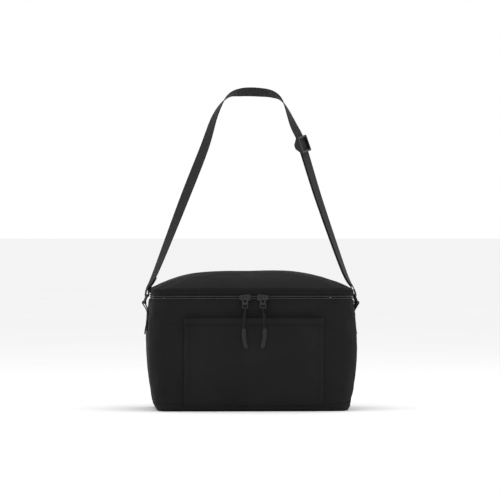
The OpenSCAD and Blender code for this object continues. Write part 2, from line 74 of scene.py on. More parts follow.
# The walls' shape: corner radius, fullness at mid height, and how much narrower the foot is
CORNER_R = 0.022
SIDE_BULGE = 0.007
FACE_BULGE = 0.004
SIDE_TAPER = 0.006
FACE_TAPER = 0.004
BASE_SEAM_Z = 0.007
# Thicknesses (T), and how far in from the walls' line the foam and the liner start (IN)
CLOTH_T = 0.0012
LINER_T = 0.0008
FOAM_IN = 0.0014
WALL_FOAM_T = 0.006
LID_FOAM_T = 0.005
LINER_IN = FOAM_IN + WALL_FOAM_T + 0.0002
LID_LINER_IN = FOAM_IN + LID_FOAM_T + 0.0002
# Room between the cloth and the foam, so that the cloth can dent
DENT_ROOM = 0.0017
WEB_T = 0.0014
WEB_W = 0.025
UP = (0, 0, 1)
FORWARD = (0, -1, 0)


def half_sizes(z):
    """Half width and half depth of the bag at a height."""
    lift = min(z, ZIP_Z) / ZIP_Z
    belly = math.sin(math.pi * lift)
    half_w = HALF_W - SIDE_TAPER * (1 - lift) + SIDE_BULGE * belly
    half_d = HALF_D - FACE_TAPER * (1 - lift) + FACE_BULGE * belly
    return half_w, half_d


def mix(a, b, f):
    return a + (b - a) * f


def smooth(f):
    c = np.clip(f, 0, 1)
    return c * c * (3 - 2 * c)


def unit(v):
    v = np.asarray(v, float)
    return v / np.linalg.norm(v, axis=-1, keepdims=True)


# ---- Places round the outline: corner, next corner, angle, share of the straight run ----

SIGNS = np.array([(1, 1), (-1, 1), (-1, -1), (1, -1)], float)
BACK_RUN, LEFT_RUN, FRONT_RUN, RIGHT_RUN = range(4)


def straight(run, step):
    length = 2 * ((HALF_D if run % 2 else HALF_W) - CORNER_R)
    shares = np.linspace(0, 1, max(2, round(length / step)) + 1)
    return np.array([(run, (run + 1) % 4, math.pi / 2 * (run + 1), f) for f in shares])


def bend(corner, step):
    steps = max(5, round(math.pi / 2 * CORNER_R / step))
    angles = math.pi / 2 * (corner + np.linspace(0, 1, steps + 1))
    return np.array([(corner % 4, corner % 4, a, 0.0) for a in angles])


def around_front(step):
    """Anticlockwise from the back's left end, round the front, to the back's right end."""
    parts = [bend(1, step)]
    for k in (1, 2, 3):
        parts += [straight(k, step)[1:], bend(k + 1, step)[1:]]
    return np.vstack(parts)


def full_loop(step):
    return np.vstack([around_front(step), straight(BACK_RUN, step)[1:-1]])


def outline(where, half_w, half_d, r, z):
    centres = SIGNS * (half_w - r, half_d - r)
    share = where[:, 3:4]
    here = centres[where[:, 0].astype(int)]
    there = centres[where[:, 1].astype(int)]
    turn = np.stack([np.cos(where[:, 2]), np.sin(where[:, 2])], 1)
    xy = here * (1 - share) + there * share + r * turn
    return np.column_stack([xy, np.full(len(xy), z)])


def course(where, z, inset=0.0):
    half_w, half_d = half_sizes(z)
    return outline(where, half_w - inset, half_d - inset, CORNER_R - inset, z)


# ---- Meshes ----


def run_lengths(points, closed):
    ahead = np.roll(points, -1, 0) - points
    steps = np.linalg.norm(ahead, axis=1)
    if not closed:
        steps[-1] = 0
    return np.concatenate([[0], np.cumsum(steps)])


def link_mesh(name, mesh, sharp=None):
    """A smooth-shaded object; edges that turn by more than sharp degrees stay sharp."""
    mesh.polygons.foreach_set("use_smooth", [True] * len(mesh.polygons))
    if sharp:
        mesh.set_sharp_from_angle(angle=math.radians(sharp))
    obj = bpy.data.objects.new(name, mesh)
    scene.collection.objects.link(obj)
    return obj


def add_object(name, points, faces, uvs=None):
    mesh = bpy.data.meshes.new(name)
    mesh.from_pydata(np.asarray(points).tolist(), [], faces)
    mesh.update()
    if uvs is not None:
        layer = mesh.uv_layers.new(name="Weave")
        layer.data.foreach_set("uv", np.asarray(uvs, float).ravel())
    return link_mesh(name, mesh)


def lattice(name, grid, wrap=False, closed=False, caps=False, flip=False):
    """A sheet through rows of points. wrap joins the columns' ends and closed the rows' ends.
    Its UV map holds metres along and up the sheet, which the weaves follow."""
    grid = np.asarray(grid, float)
    rows, cols = grid.shape[:2]
    ups, alongs = np.arange(rows if closed else rows - 1), np.arange(cols if wrap else cols - 1)
    j, i = np.meshgrid(ups, alongs, indexing="ij")
    up, right = (j + 1) % rows, (i + 1) % cols
    quads = np.stack([j * cols + i, j * cols + right, up * cols + right, up * cols + i], -1)
    u = run_lengths(grid[rows // 2], wrap)
    v = run_lengths(grid[:, cols // 2], closed)
    corners = ((i, j), (i + 1, j), (i + 1, j + 1), (i, j + 1))
    spots = np.stack([np.stack([u[a], v[b]], -1) for a, b in corners], -2)
    quads = quads.reshape(-1, 4)
    spots = spots.reshape(-1, 4, 2)
    if flip:
        quads, spots = quads[:, ::-1], spots[:, ::-1]
    faces = quads.tolist()
    uvs = spots.reshape(-1, 2).tolist()
    if caps:
        first = list(range(cols))
        last = [(rows - 1) * cols + k for k in range(cols)]
        faces += [first, last[::-1]] if flip else [first[::-1], last]
        uvs += [[0.0, 0.0]] * (2 * cols)
    return add_object(name, grid.reshape(-1, 3), faces, uvs)


def frames_along(path, closed=False, side=(1, 0, 0)):
    """Two directions across the path at each point; the first stays as near as it can to side."""
    path, side = np.asarray(path, float), np.asarray(side, float)
    if closed:
        way = np.roll(path, -1, 0) - np.roll(path, 1, 0)
    else:
        way = np.gradient(path, axis=0)
    tangent = unit(way)
    across = unit(side - (tangent @ side)[:, None] * tangent)
    return across, np.cross(tangent, across)


def sweep(name, path, across, out, profile, closed=False):
    """A bar along path. profile is rows of (across, out) pairs, one row or one for each point."""
    path, across, out = (np.asarray(a, float) for a in (path, across, out))
    profile = np.asarray(profile, float)
    if profile.ndim == 2:
        profile = np.broadcast_to(profile, (len(path), *profile.shape))
    grid = path[:, None] + profile[:, :, :1] * across[:, None] + profile[:, :, 1:] * out[:, None]
    turned = float(np.dot(np.cross(across[0], out[0]), path[1] - path[0])) < 0
    return lattice(name, grid, wrap=True, closed=closed, caps=not closed, flip=turned)


def bar(name, path, profile, side=(1, 0, 0), closed=False):
    """A sweep whose across direction stays as near as it can to side."""
    return sweep(name, path, *frames_along(path, closed, side), profile, closed)


def oval(half_across, half_out, sides=12, square=2.0):
    """A rounded section; square above 2 makes it boxier."""
    angles = np.linspace(0, 2 * math.pi, sides, endpoint=False)
    turns = np.stack([np.cos(angles), np.sin(angles)], 1)
    return (half_across, half_out) * np.sign(turns) * np.abs(turns) ** (2 / square)


def curve_through(points, steps):
    """A smooth curve through points, with phantom points reflected past its ends."""
    points = np.asarray(points, float)
    padded = np.vstack([2 * points[0] - points[1], points, 2 * points[-1] - points[-2]])
    found = []
    for i in range(1, len(padded) - 2):
        a, b, c, d = padded[i - 1 : i + 3]
        slope, curve, bend_up = c - a, 2 * a - 5 * b + 4 * c - d, 3 * b - a - 3 * c + d
        for f in np.linspace(0, 1, steps, endpoint=False):
            found.append(0.5 * (2 * b + slope * f + curve * f * f + bend_up * f**3))
    found.append(points[-1])
    return np.array(found)


def resample(path, gap, closed=False):
    """The path's points at equal distances."""
    path = np.asarray(path, float)
    if closed:
        path = np.vstack([path, path[:1]])
    reach = run_lengths(path, False)[:-1]
    count = max(2, round(reach[-1] / gap))
    at = np.linspace(0, reach[-1], count + 1)
    if closed:
        at = at[:-1]
    return np.stack([np.interp(at, reach, path[:, k]) for k in range(path.shape[1])], 1)


def thicken(obj, thickness, offset=-1.0):
    solid = obj.modifiers.new("Thickness", "SOLIDIFY")
    solid.thickness = thickness
    solid.offset = offset


def round_edges(obj, width):
    bevel = obj.modifiers.new("Edges", "BEVEL")
    bevel.width = width
    bevel.segments = 2
    bevel.limit_method = "ANGLE"
    bevel.angle_limit = math.radians(35)


def place(obj, body, looks, slot, *nodes):
    """Gives a piece its material, the CAD nodes it stands for and the body it rides on; slot is not
    used.
    """
    obj.data.materials.clear()
    obj.data.materials.append(looks)
    if nodes:
        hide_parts(*nodes)
    if body:
        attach(obj, body)


def cad_copy(node, name, edge, body, looks, slot):
    """A hard part: the CAD node's own shape with its edges rounded."""
    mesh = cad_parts[node].data.copy()
    mesh.name = name
    mesh.materials.clear()
    tidy = bmesh.new()
    tidy.from_mesh(mesh)
    bmesh.ops.remove_doubles(tidy, verts=tidy.verts, dist=1e-6)
    flat = math.radians(1)
    bmesh.ops.dissolve_limit(tidy, angle_limit=flat, verts=tidy.verts, edges=tidy.edges)
    tidy.to_mesh(mesh)
    tidy.free()
    obj = link_mesh(name, mesh, 40)
    round_edges(obj, edge)
    place(obj, body, looks, slot, node)


# ---- Cloth ----

SETTLE_FRAMES = 20
MOST_SLIDE = 0.002


def vertex_values(obj, name):
    values = np.empty(len(obj.data.vertices) * 3)
    obj.data.vertices.foreach_get(name, values)
    return values.reshape(-1, 3)


def settle(obj, sewn, pressure, slack, most_out, most_in):
    """Cloth held at its sewn points fills out under pressure; each point moves a limited way."""
    rest, normals = vertex_values(obj, "co"), vertex_values(obj, "normal")
    group = obj.vertex_groups.new(name="sewn")
    group.add([int(k) for k in sewn], 1.0, "REPLACE")
    cloth = obj.modifiers.new("Cloth", "CLOTH")
    settings = cloth.settings
    settings.quality = 6
    settings.mass = 0.25
    settings.vertex_group_mass = "sewn"
    settings.use_pressure = True
    settings.uniform_pressure_force = pressure
    settings.shrink_min = -slack
    settings.bending_stiffness = 2.5
    settings.effector_weights.gravity = 0
    cloth.point_cache.frame_start = 1
    cloth.point_cache.frame_end = SETTLE_FRAMES
    for step in range(1, SETTLE_FRAMES + 1):
        scene.frame_set(step)
    done = obj.evaluated_get(bpy.context.evaluated_depsgraph_get())
    shift = vertex_values(done, "co") - rest
    obj.modifiers.remove(cloth)
    scene.frame_set(1)
    out = (shift * normals).sum(1, keepdims=True)
    slide = shift - out * normals
    far = np.linalg.norm(slide, axis=1, keepdims=True)
    slide *= np.minimum(1, MOST_SLIDE / np.maximum(far, 1e-9))
    return rest + slide + np.clip(out, -most_in, most_out) * normals


def set_points(obj, points):
    obj.data.vertices.foreach_set("co", np.asarray(points, float).ravel())
    obj.data.update()


def push(obj, points, amount):
    """Moves the mesh to points and then by amount along its normals."""
    set_points(obj, points + vertex_values(obj, "normal") * amount)


def ripple(points, size, height, seed, tall=1.0):
    """Smooth unevenness between about -height and height, with features of that size. tall below
    1 stretches them upwards."""
    shift = Vector((seed * 3.1, seed * 1.7, seed * 2.3))
    spots = points * (1, 1, tall)
    return np.array([noise.noise(Vector(p) / size + shift) for p in spots])[:, None] * height


class Surface:
    """A settled grid that stitches and trim are laid on, by row and column."""

    def __init__(self, obj, rows, cols):
        self.grid = vertex_values(obj, "co").reshape(rows, cols, 3)
        self.normals = vertex_values(obj, "normal").reshape(rows, cols, 3)

    def pick(self, table, row, col):
        rows, cols = self.grid.shape[:2]
        row = np.clip(row, 0, rows - 1.001)
        col = np.clip(col, 0, cols - 1.001)
        j, i = row.astype(int), col.astype(int)
        f, g = (row - j)[:, None], (col - i)[:, None]
        low = table[j, i] * (1 - g) + table[j, i + 1] * g
        high = table[j + 1, i] * (1 - g) + table[j + 1, i + 1] * g
        return low * (1 - f) + high * f

    def at(self, row, col):
        row, col = np.broadcast_arrays(np.asarray(row, float), np.asarray(col, float))
        return self.pick(self.grid, row, col), unit(self.pick(self.normals, row, col))


# ---- Stitches ----

STITCH_PITCH = 0.0031
STITCH_LEN = 0.0024
STITCH_R = 0.0003
STITCH_SIDES = 6
# A stitch's shape from end to end: places along it, and its girth and rise there
STITCH_ALONG = np.array([-0.5, -0.33, 0, 0.33, 0.5]) * STITCH_LEN
STITCH_GIRTH = np.array([0.45, 1, 1, 1, 0.45]) * STITCH_R
STITCH_RISE = np.array([-0.9, 0.1, 0.45, 0.1, -0.9]) * STITCH_R


def stitch_run(points, normals, lift=0.0001):
    """Places for one line of stitches: middles, directions and normals."""
    both = np.hstack([points, np.broadcast_to(normals, np.shape(points))])
    reach = run_lengths(np.asarray(points), False)[:-1]
    count = max(1, int(reach[-1] / STITCH_PITCH))
    at = (np.arange(count) + 0.5) * reach[-1] / count
    here, ahead, behind = (
        np.stack([np.interp(at + step, reach, both[:, k]) for k in range(6)], 1)
        for step in (0.0, 5e-4, -5e-4)
    )
    up = unit(here[:, 3:])
    return here[:, :3] + up * lift, unit((ahead - behind)[:, :3]), up


def stitches(name, runs, body, slot="outer_cloth", pairs=None):
    """One mesh of thread: each stitch is a short bead that dips into the cloth at both ends."""
    middles, ways, ups = (np.vstack([run[k] for run in runs]) for k in range(3))
    sides = np.cross(ups, ways)
    points = []
    for a, g, r in zip(STITCH_ALONG, STITCH_GIRTH, STITCH_RISE):
        for t in np.linspace(0, 2 * math.pi, STITCH_SIDES, endpoint=False):
            across, rise = g * math.cos(t), r + g * math.sin(t)
            points.append(middles + a * ways + across * sides + rise * ups)
    points = np.stack(points, 1).reshape(-1, 3)
    faces = []
    to_last = (len(STITCH_ALONG) - 1) * STITCH_SIDES
    for base in range(0, len(points), to_last + STITCH_SIDES):
        for low in range(base, base + to_last, STITCH_SIDES):
            high = low + STITCH_SIDES
            for i in range(STITCH_SIDES):
                k = (i + 1) % STITCH_SIDES
                faces.append([low + i, low + k, high + k, high + i])
        faces.append([base + i for i in reversed(range(STITCH_SIDES))])
        faces.append([base + to_last + i for i in range(STITCH_SIDES)])
    obj = add_object(name, points, faces)
    place(obj, body, thread, slot)
    if pairs:
        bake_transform(obj)


# ---- Materials ----


class Looks:
    """A node material under construction, with short helpers for its nodes."""

    def __init__(self, name, rough, specular=0.3, metal=0.0, sheen=0.0, coat=0.0):
        self.material = bpy.data.materials.new(name)
        self.material.use_nodes = True
        self.nodes = self.material.node_tree.nodes
        self.links = self.material.node_tree.links
        self.shader = self.nodes["Principled BSDF"]
        for socket, value in (
            ("Roughness", rough), ("Specular IOR Level", specular), ("Metallic", metal),
            ("Sheen Weight", sheen), ("Sheen Roughness", 0.6), ("Coat Weight", coat),
        ):
            self.shader.inputs[socket].default_value = value

    def feed(self, socket, value):
        if isinstance(value, (int, float)):
            socket.default_value = value
        else:
            self.links.new(value, socket)

    def math(self, operation, first, second=0.0):
        node = self.nodes.new("ShaderNodeMath")
        node.operation = operation
        self.feed(node.inputs[0], first)
        self.feed(node.inputs[1], second)
        return node.outputs[0]

    def total(self, *terms):
        """The sum of terms; a pair is a value and its weight."""
        parts = [self.math("MULTIPLY", *t) if isinstance(t, tuple) else t for t in terms]
        found = parts[0]
        for part in parts[1:]:
            found = self.math("ADD", found, part)
        return found

    def weave_place(self):
        """Metres along and up the cloth."""
        uv = self.nodes.new("ShaderNodeUVMap")
        uv.uv_map = "Weave"
        split = self.nodes.new("ShaderNodeSeparateXYZ")
        self.links.new(uv.outputs[0], split.inputs[0])
        return split.outputs[0], split.outputs[1]

    def object_place(self):
        return self.nodes.new("ShaderNodeTexCoord").outputs["Object"]

    def noise(self, size, detail=3.0, rough=0.55, stretch=None):
        """Noise with features of that size in metres."""
        place_out = self.object_place()
        if stretch:
            mapping = self.nodes.new("ShaderNodeMapping")
            mapping.inputs["Scale"].default_value = stretch
            self.links.new(place_out, mapping.inputs[0])
            place_out = mapping.outputs[0]
        node = self.nodes.new("ShaderNodeTexNoise")
        node.inputs["Scale"].default_value = 1 / size
        node.inputs["Detail"].default_value = detail
        node.inputs["Roughness"].default_value = rough
        self.links.new(place_out, node.inputs["Vector"])
        return node.outputs[0]

    def cells(self, size):
        node = self.nodes.new("ShaderNodeTexVoronoi")
        node.inputs["Scale"].default_value = 1 / size
        self.links.new(self.object_place(), node.inputs["Vector"])
        return node.outputs["Distance"]

    def wave(self, along, pitch, shift=0.0):
        """A sine from -1 to 1 that repeats every pitch metres."""
        turns = self.math("MULTIPLY", along, 2 * math.pi / pitch)
        return self.math("SINE", self.math("ADD", turns, shift))

    def colours(self, factor, *stops):
        """Colour by a factor; stops are (place, grey or colour)."""
        ramp = self.nodes.new("ShaderNodeValToRGB")
        elements = ramp.color_ramp.elements
        while len(elements) < len(stops):
            elements.new(0.5)
        for element, (at, tone) in zip(elements, stops):
            element.position = at
            element.color = (tone, tone, tone, 1) if isinstance(tone, float) else (*tone, 1)
        self.links.new(factor, ramp.inputs[0])
        self.links.new(ramp.outputs[0], self.shader.inputs["Base Color"])

    def roughness(self, factor, low, high):
        spread = self.nodes.new("ShaderNodeMapRange")
        spread.inputs["To Min"].default_value = low
        spread.inputs["To Max"].default_value = high
        self.links.new(factor, spread.inputs["Value"])
        self.links.new(spread.outputs[0], self.shader.inputs["Roughness"])

    def bump(self, height, depth, strength=1.0):
        node = self.nodes.new("ShaderNodeBump")
        node.inputs["Strength"].default_value = strength
        node.inputs["Distance"].default_value = depth
        self.links.new(height, node.inputs["Height"])
        before = self.shader.inputs["Normal"]
        if before.is_linked:
            self.links.new(before.links[0].from_socket, node.inputs["Normal"])
        self.links.new(node.outputs[0], before)


def grey(tone, warm=0.0):
    """A near-neutral colour; warm above 0 leans it slightly to violet-brown as black dye does."""
    return (tone * (1 + warm), tone, tone * (1 + 1.6 * warm))


def woven(name, dark, light, pitch, depth, rough, specular, sheen, warm=0.03):
    """Plain weave: threads pass over and under each other, with slubs and slight wear."""
    looks = Looks(name, rough, specular, sheen=sheen)
    u, v = looks.weave_place()
    threads = looks.math("MULTIPLY", looks.wave(u, 2 * pitch), looks.wave(v, 2 * pitch))
    slub = looks.noise(0.0016, 2.0, 0.7, (1, 1, 3.5))
    broad = looks.noise(0.05, 3.0)
    tone = looks.total((threads, 0.14), (slub, 0.55), (broad, 0.45))
    looks.colours(tone, (0.25, grey(dark, warm)), (0.75, grey(light, warm)))
    looks.roughness(broad, rough - 0.06, rough + 0.06)
    looks.bump(threads, depth)
    looks.bump(looks.noise(0.004, 3.0), depth * 1.4)
    return looks.material


def webbing_looks():
    """Ribbed nylon webbing: fine ribs across and slanted twill lines."""
    looks = Looks("webbing", 0.62, 0.1, sheen=0.02)
    u, v = looks.weave_place()
    twill = looks.wave(looks.total(v, (u, 0.8)), 0.0021)
    weave = looks.total((twill, 0.6), (looks.wave(u, 0.0017), 0.4))
    fuzz = looks.noise(0.0022, 3.0, 0.7)
    tone = looks.total((weave, 0.16), fuzz, (looks.noise(0.03), 0.3))
    looks.colours(tone, (0.35, grey(0.004, 0.02)), (0.95, grey(0.017, 0.02)))
    looks.bump(weave, 0.00022)
    looks.bump(fuzz, 0.0001)
    return looks.material


def foam_looks():
    looks = Looks("foam", 0.9, 0.2)
    cells = looks.cells(0.0011)
    looks.colours(cells, (0.0, grey(0.74)), (0.6, (0.88, 0.88, 0.85)))
    looks.bump(cells, 0.0003)
    looks.bump(looks.noise(0.01), 0.0004)
    return looks.material


def liner_looks():
    """Silvery waterproof film, embossed with a fine pebble and slightly crinkled."""
    looks = Looks("liner", 0.42, 0.5, metal=0.35)
    pebble = looks.cells(0.0016)
    crinkle = looks.noise(0.018, 4.0, 0.6)
    tone = looks.total((crinkle, 0.7), (pebble, 0.3))
    looks.colours(tone, (0.25, (0.36, 0.37, 0.39)), (0.7, (0.58, 0.59, 0.61)))
    looks.roughness(crinkle, 0.34, 0.52)
    looks.bump(pebble, 0.00018)
    looks.bump(crinkle, 0.0011)
    return looks.material


def plastic_looks(name, dark, light, rough, specular, grain=0.0012, depth=0.00006):
    """Moulded plastic: a fine spark-eroded grain, faint flow marks and scuffs."""
    looks = Looks(name, rough, specular)
    grains = looks.noise(grain, 4.0, 0.7)
    flow = looks.noise(0.014, 2.0, 0.5, (1, 1, 2.2))
    tone = looks.total((grains, 0.5), (flow, 0.5))
    looks.colours(tone, (0.3, grey(dark, 0.02)), (0.72, grey(light, 0.02)))
    looks.roughness(flow, rough - 0.1, rough + 0.1)
    looks.bump(grains, depth)
    return looks.material


def enamel_looks():
    """Black enamelled metal; sparse noise spots are painted brighter as painted glints, and the
    same noise varies its roughness and bump.
    """
    looks = Looks("black_enamel", 0.3, 0.35, metal=0.0, coat=0.1)
    glints_and_scuffs = looks.noise(0.0018, 5.0, 0.75)
    broad = looks.noise(0.009, 2.0)
    tone = looks.math("MULTIPLY", glints_and_scuffs, broad)
    # The brightest stop paints the sparse noise spots near grey: painted glints, not a colour of
    # the enamel
    looks.colours(tone, (0.2, grey(0.004)), (0.36, grey(0.009)), (0.46, grey(0.10)))
    looks.roughness(glints_and_scuffs, 0.25, 0.5)
    looks.bump(glints_and_scuffs, 0.00004)
    return looks.material


def coil_looks():
    looks = Looks("zip_coil", 0.5, 0.22)
    tone = looks.noise(0.003, 3.0)
    looks.colours(tone, (0.3, grey(0.014)), (0.7, grey(0.034)))
    looks.bump(looks.noise(0.0006), 0.00004)
    return looks.material


def cord_looks():
    """Braided cord: two sets of strands cross each other."""
    looks = Looks("pull_cord", 0.7, 0.1, sheen=0.02)
    u, v = looks.weave_place()
    left = looks.wave(looks.math("ADD", v, u), 0.0012)
    right = looks.wave(looks.math("SUBTRACT", v, u), 0.0012)
    plait = looks.math("MAXIMUM", left, right)
    tone = looks.total((plait, 0.3), looks.noise(0.002))
    looks.colours(tone, (0.3, grey(0.006)), (0.85, grey(0.020)))
    looks.bump(plait, 0.00012)
    return looks.material


def floor_looks():
    looks = Looks("floor", 0.9, 0.0)
    looks.colours(looks.noise(0.4), (0.2, grey(0.89)), (0.8, grey(0.91)))
    return looks.material


# Cloths: dark and light tone, pitch and depth of the threads, roughness, specular and sheen
outer_cloth = woven("outer_cloth", 0.0075, 0.0165, 0.00055, 0.00016, 0.78, 0.06, 0.02)
base_cloth = woven("base_cloth", 0.006, 0.013, 0.0007, 0.0002, 0.6, 0.08, 0.01, 0.0)
tape_cloth = woven("tape_cloth", 0.009, 0.020, 0.0006, 0.00014, 0.72, 0.08, 0.02)
binding_cloth = woven("binding_cloth", 0.007, 0.016, 0.0008, 0.0002, 0.75, 0.08, 0.02)
# Smooth things: dark and light tone, roughness, specular, and the grain's size and depth
thread = plastic_looks("thread", 0.006, 0.013, 0.6, 0.1, 0.0008)
webbing = webbing_looks()
foam = foam_looks()
liner = liner_looks()
hardware = plastic_looks("hardware", 0.006, 0.014, 0.42, 0.25)
grip_rubber = plastic_looks("grip_rubber", 0.010, 0.024, 0.52, 0.18, 0.0009, 0.0001)
enamel = enamel_looks()
coil_nylon = coil_looks()
cord_braid = cord_looks()


# ---- Body ----

CLOTH_STEP = 0.004
BOARD_STEP = 0.008
TAB_FOOT_Z = ZIP_Z - 0.0535
PRESS_FADE = 0.012
# Shares of the walls' height: how close the seams hold the cloth, and how far gathers reach
SEAM_HOLD = 0.06
GATHER_REACH = 0.26
FOAM_EDGE = 0.0008
BASE_FULLNESS = 0.0009
# The base's roll: how far in from the walls' line, and its height there
BASE_ROLL = [(0.0, 0.0070), (0.0001, 0.0050), (0.0005, 0.0032), (0.0013, 0.0017)]
BASE_ROLL += [(0.0025, 0.0007), (0.0040, 0.0002), (0.0060, 0.0)]
AROUND = around_front(CLOTH_STEP)
BACK = straight(BACK_RUN, CLOTH_STEP)
wall_heights = np.linspace(BASE_SEAM_Z + 0.0002, wrap_high.z, 39)


def pressed(points):
    """1 where the walls are held flat under the pocket or a side tab, falling to 0 around them."""
    x, y, z = points.T
    off_pocket = np.maximum(np.abs(x) - pocket_high.x, z - pocket_high.z) / PRESS_FADE
    off_tab = np.maximum(np.abs(y) - WEB_W / 2, TAB_FOOT_Z - z) / PRESS_FADE
    front = smooth(1 - off_pocket) * (y < 0.01 - HALF_D)
    side = smooth(1 - off_tab) * (np.abs(x) > HALF_W - 0.01)
    return np.maximum(front, side)[:, None]


def cloth_panel(name, node, where, most_out):
    """An upright cloth panel sewn along its four edges, filled out and lightly rumpled."""
    grid = np.array([course(where, z) for z in wall_heights])
    rows, cols = grid.shape[:2]
    obj = lattice(name, grid)
    index = np.arange(rows * cols).reshape(rows, cols)
    sewn = np.unique(np.concatenate([index[0], index[-1], index[:, 0], index[:, -1]]))
    points = settle(obj, sewn, pressure=1.6, slack=0.012, most_out=most_out, most_in=0.0006)
    flat = grid.reshape(-1, 3)
    up = (flat[:, 2:] - wall_heights[0]) / (wall_heights[-1] - wall_heights[0])
    off_seam = np.minimum(up, 1 - up)
    held = smooth(off_seam / SEAM_HOLD)
    gather = smooth((GATHER_REACH - off_seam) / GATHER_REACH) * held
    dents = ripple(points, 0.055, 0.0011, 1, 0.75)
    slack = ripple(points, 0.021, 0.00035, 2, 1.9)
    puckers = ripple(points, 0.0095, 0.0005, 3, 0.28) * gather
    rumple = held * (dents + slack + puckers - 0.0002)
    points = points + vertex_values(obj, "normal") * rumple
    set_points(obj, flat + (points - flat) * (1 - pressed(flat)))
    thicken(obj, CLOTH_T)
    place(obj, "body", outer_cloth, "outer_cloth", node)
    return Surface(obj, rows, cols)


def drawn_in(edge, *shares):
    """Copies of an edge, drawn in to those shares of its size."""
    return [edge * (s, s, 1) for s in shares]


def base_cover():
    """The base rolls under from its seam and lies flat, with a slight fullness in the middle."""
    where = full_loop(CLOTH_STEP)
    rows = [course(where, z, inset) for inset, z in BASE_ROLL]
    last = rows[-1]
    for s in (0.9, 0.75, 0.58, 0.4, 0.22, 0.06):
        rows.append(last * (s, s, 1) + (0, 0, BASE_FULLNESS * (1 - s)))
    obj = lattice("base_cover", rows, wrap=True, flip=True)
    thicken(obj, CLOTH_T)
    place(obj, "body", base_cloth, "base_cloth", "base_panel")


def base_piping():
    """A narrow bound edge hides the seam between the walls and the base."""
    path = course(full_loop(0.003), BASE_SEAM_Z + 0.0003, 0.0002)
    obj = bar("base_piping", path, oval(0.0013, 0.0009, 10), UP, closed=True)
    place(obj, "body", binding_cloth, "binding")


def base_middle_patch():
    """Closes the base where its rows of cloth meet."""
    edge = course(full_loop(0.012), 0.0, 0.0095) * (0.08, 0.08, 1) + (0, 0, BASE_FULLNESS)
    obj = lattice("base_patch", drawn_in(edge, 1.0, 0.5, 0.1), wrap=True, flip=True)
    thicken(obj, 0.0006, 1.0)
    place(obj, "body", base_cloth, "base_cloth")


def foam_board(name, run):
    where = straight(run, BOARD_STEP)
    levels = np.linspace(foam_low.z, foam_high.z, 18)
    grid = np.array([course(where, z, FOAM_IN + DENT_ROOM) for z in levels])
    obj = lattice(f"board_{name}", grid)
    points = grid.reshape(-1, 3)
    push(obj, points, ripple(points, 0.03, 0.0001, run + 5))
    thicken(obj, WALL_FOAM_T - DENT_ROOM)
    round_edges(obj, FOAM_EDGE)
    place(obj, "body", foam, "foam", f"foam_{name}")


def base_board():
    where = full_loop(BOARD_STEP)
    levels = [(0.013, 0.0014), (0.0085, 0.0022), (0.006, 0.0034), (0.0034, 0.0064)]
    rows = [course(where, z, inset) for inset, z in levels]
    rows = drawn_in(rows[0], 0.1, 0.5) + rows + drawn_in(rows[-1], 0.9, 0.6, 0.3, 0.1)
    obj = lattice("base_board", rows, wrap=True, caps=True)
    place(obj, "body", foam, "foam", "foam_base")


def film_folds(points, depth, seed, tall=1.0):
    """Soft folds and fine creases in the lining."""
    folds = np.clip(ripple(points, 0.024, 1.6, seed, tall), 0, 1) * depth
    return folds + np.abs(ripple(points, 0.011, 0.0004, seed + 1))


def tub_liner():
    """The waterproof tub: walls with soft folds, a rounded foot and a floor."""
    where = full_loop(0.005)
    foot = foam_low.z
    walls = [(0.0, z) for z in np.linspace(foam_high.z, foot + 0.016, 24)]
    curve = [(0.0, foot + 0.006), (0.0006, foot + 0.0035), (0.002, foot + 0.0016), (0.006, foot)]
    rows = [course(where, z, LINER_IN + inset) for inset, z in walls + curve]
    rows += drawn_in(rows[-1], 0.88, 0.72, 0.55, 0.38, 0.2, 0.05)
    grid = np.array(rows)
    obj = lattice("tub_liner", grid, wrap=True, flip=True)
    points = grid.reshape(-1, 3)
    # The sheet's normals face outwards here, so folds go inwards, against them
    down = smooth((foam_high.z - 0.004 - points[:, 2:]) / 0.02)
    push(obj, points, -down * film_folds(points, 0.0011, 9, 0.5))
    thicken(obj, LINER_T)
    place(obj, "body", liner, "liner", "liner_tub")


def welded_seams():
    """Flat welds run down the tub's four corners and round its foot."""
    weld = oval(0.0035, 0.0004, 12, 3.0)
    levels = np.linspace(foam_high.z - 0.001, foam_low.z + 0.008, 26)
    for corner in range(4):
        where = np.array([(corner, corner, math.pi / 2 * (corner + 0.5), 0.0)])
        path = [course(where, z, LINER_IN + LINER_T + 0.0012)[0] for z in levels]
        away = unit(np.append(SIGNS[corner], 0))
        across = np.cross(UP, away)
        obj = sweep(f"liner_weld_{corner + 1}", path, [across] * 26, [away] * 26, weld)
        place(obj, "body", liner, "liner")
    path = course(full_loop(0.006), foam_low.z + 0.0016, LINER_IN + 0.0075)
    up, out = frames_along(path, True, UP)
    obj = sweep("liner_weld_foot", path, out, up, weld, closed=True)
    place(obj, "body", liner, "liner")


def bound_rim(name, node, body):
    """Bias binding rolled over the foam and the liner where they end."""
    low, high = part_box(node)
    inner = LINER_IN + LINER_T + 0.0005
    outer = HALF_W - high.x
    path = course(full_loop(0.004), (low.z + high.z) / 2, (inner + outer) / 2)
    profile = oval((high.z - low.z) / 2, (inner - outer) / 2, 18, 3.2)
    obj = bar(name, path, profile, UP, closed=True)
    points = vertex_values(obj, "co")
    push(obj, points, -np.abs(ripple(points, 0.006, 0.0004, 12)))
    place(obj, body, binding_cloth, "binding", node)


# ---- Zip ----

COIL_H = 0.0017
COIL_PITCH = 0.0021
COIL_REACH = 0.00015
CORD_R = 0.00095
LOOP_R = 0.0023
# Half the distance between the cord's two legs, and how deep they go into the grip
LEG_OFF = 0.00105
LEG_SUNK = 0.0012
PLAIT_STEP = 0.00045
PLAIT_PITCH = 0.0024
GRIP_ASIDE = 0.002
GRIP_RIBS = 15


